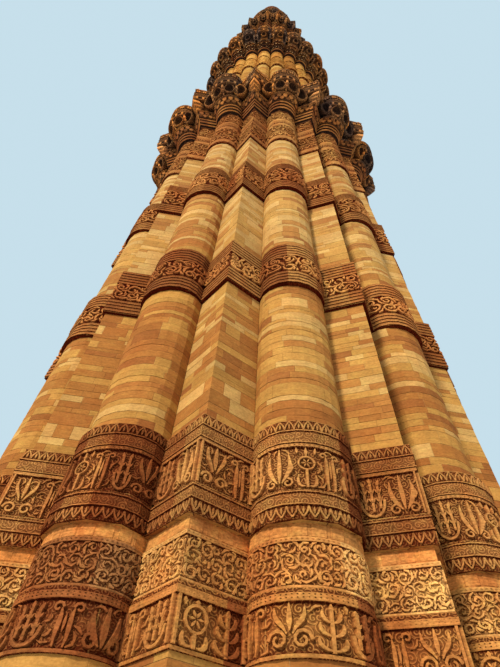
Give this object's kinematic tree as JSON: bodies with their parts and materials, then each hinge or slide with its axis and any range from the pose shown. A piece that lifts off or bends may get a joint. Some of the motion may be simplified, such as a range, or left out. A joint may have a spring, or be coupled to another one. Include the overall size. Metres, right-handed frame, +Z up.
{
  "type": "fluted stone minaret, 1:2 scale model",
  "caption": "Tapering fluted tower of banded sandstone storeys, hollow inside, with carved bands and corbelled balconies; a scale model at half the real size.",
  "frame": {"origin": "centre of the plinth's underside, on the ground", "axes": "+Z up along the tower's axis; -Y is the front, with one angular flute on its middle line; the doorways are at +Y"},
  "size_m": [7.5, 7.5, 36.25],
  "materials": {
    "buff_sandstone": "weathered sandstone courses in buff, ochre and red",
    "carved_red_sandstone": "deeply carved red-brown sandstone",
    "dark_carved_sandstone": "dark weathered carved sandstone"
  },
  "bodies": {
    "root": {"plinth": "buff_sandstone", "entrance_wall_west": "buff_sandstone", "entrance_wall_east": "buff_sandstone", "wall_over_entrance": "buff_sandstone", "upright_course": "buff_sandstone", "shaft_1_lower": "buff_sandstone", "shaft_1_middle": "buff_sandstone", "shaft_1_upper": "buff_sandstone", "storey_2_doorway_wall": "buff_sandstone", "shaft_2_lower": "buff_sandstone", "shaft_2_upper": "buff_sandstone", "storey_2_high_band": "buff_sandstone", "storey_3_doorway_wall": "buff_sandstone", "shaft_3": "buff_sandstone", "storey_4_doorway_wall": "buff_sandstone", "shaft_4": "buff_sandstone", "storey_5_doorway_wall": "buff_sandstone", "shaft_5": "buff_sandstone", "top_cap": "buff_sandstone", "band_1": "carved_red_sandstone", "band_2": "carved_red_sandstone", "band_3": "carved_red_sandstone", "band_4": "carved_red_sandstone", "band_5": "carved_red_sandstone", "band_6": "carved_red_sandstone", "storey_2_low_band": "carved_red_sandstone", "storey_3_band": "carved_red_sandstone", "balcony_1_ribs": "dark_carved_sandstone", "balcony_1_corbels": "dark_carved_sandstone", "balcony_1_floor": "dark_carved_sandstone", "balcony_1_parapet": "dark_carved_sandstone", "balcony_2_ribs": "dark_carved_sandstone", "balcony_2_corbels": "dark_carved_sandstone", "balcony_2_floor": "dark_carved_sandstone", "balcony_2_parapet": "dark_carved_sandstone", "balcony_3_ribs": "dark_carved_sandstone", "balcony_3_corbels": "dark_carved_sandstone", "balcony_3_floor": "dark_carved_sandstone", "balcony_3_parapet": "dark_carved_sandstone", "balcony_4_ribs": "dark_carved_sandstone", "balcony_4_corbels": "dark_carved_sandstone", "balcony_4_floor": "dark_carved_sandstone", "balcony_4_parapet": "dark_carved_sandstone", "top_cornice": "dark_carved_sandstone"}
  },
  "joints": []
}
